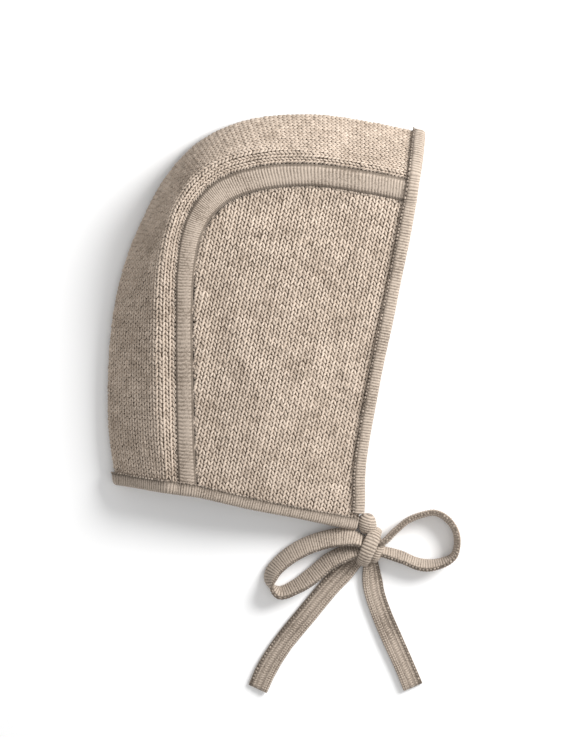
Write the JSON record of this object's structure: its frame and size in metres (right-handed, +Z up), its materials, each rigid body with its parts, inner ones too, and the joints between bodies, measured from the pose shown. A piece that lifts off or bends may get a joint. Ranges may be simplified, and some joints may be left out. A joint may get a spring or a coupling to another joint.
{
  "type": "baby bonnet",
  "caption": "Knitted baby bonnet with a curved centre panel, flat seam bands, bound edges and knitted ties in a bow, lying on its side.",
  "frame": {"origin": "middle of the bonnet's footprint, on the surface that it lies on, leaving out the bow", "axes": "+Z up from the surface, +Y from the neck edge towards the crown, +X towards the face opening"},
  "size_m": [0.1574, 0.2583, 0.0299],
  "materials": {
    "panel_knit": "heathered stocking stitch, matt",
    "band_knit": "fine-gauge knit with ribs across it, matt",
    "tie_knit": "fine-gauge knitted tape, matt"
  },
  "bodies": {
    "root": {"side_panel_near": "panel_knit", "side_panel_far": "panel_knit", "centre_panel": "panel_knit", "seam_band_near": "band_knit", "seam_band_far": "band_knit", "face_binding": "band_knit", "neck_binding": "band_knit", "corner_knot": "tie_knit", "bow_knot": "tie_knit", "bow_loop_left": "tie_knit", "bow_loop_right": "tie_knit", "tie_tail_left": "tie_knit", "tie_tail_right": "tie_knit"}
  },
  "joints": []
}
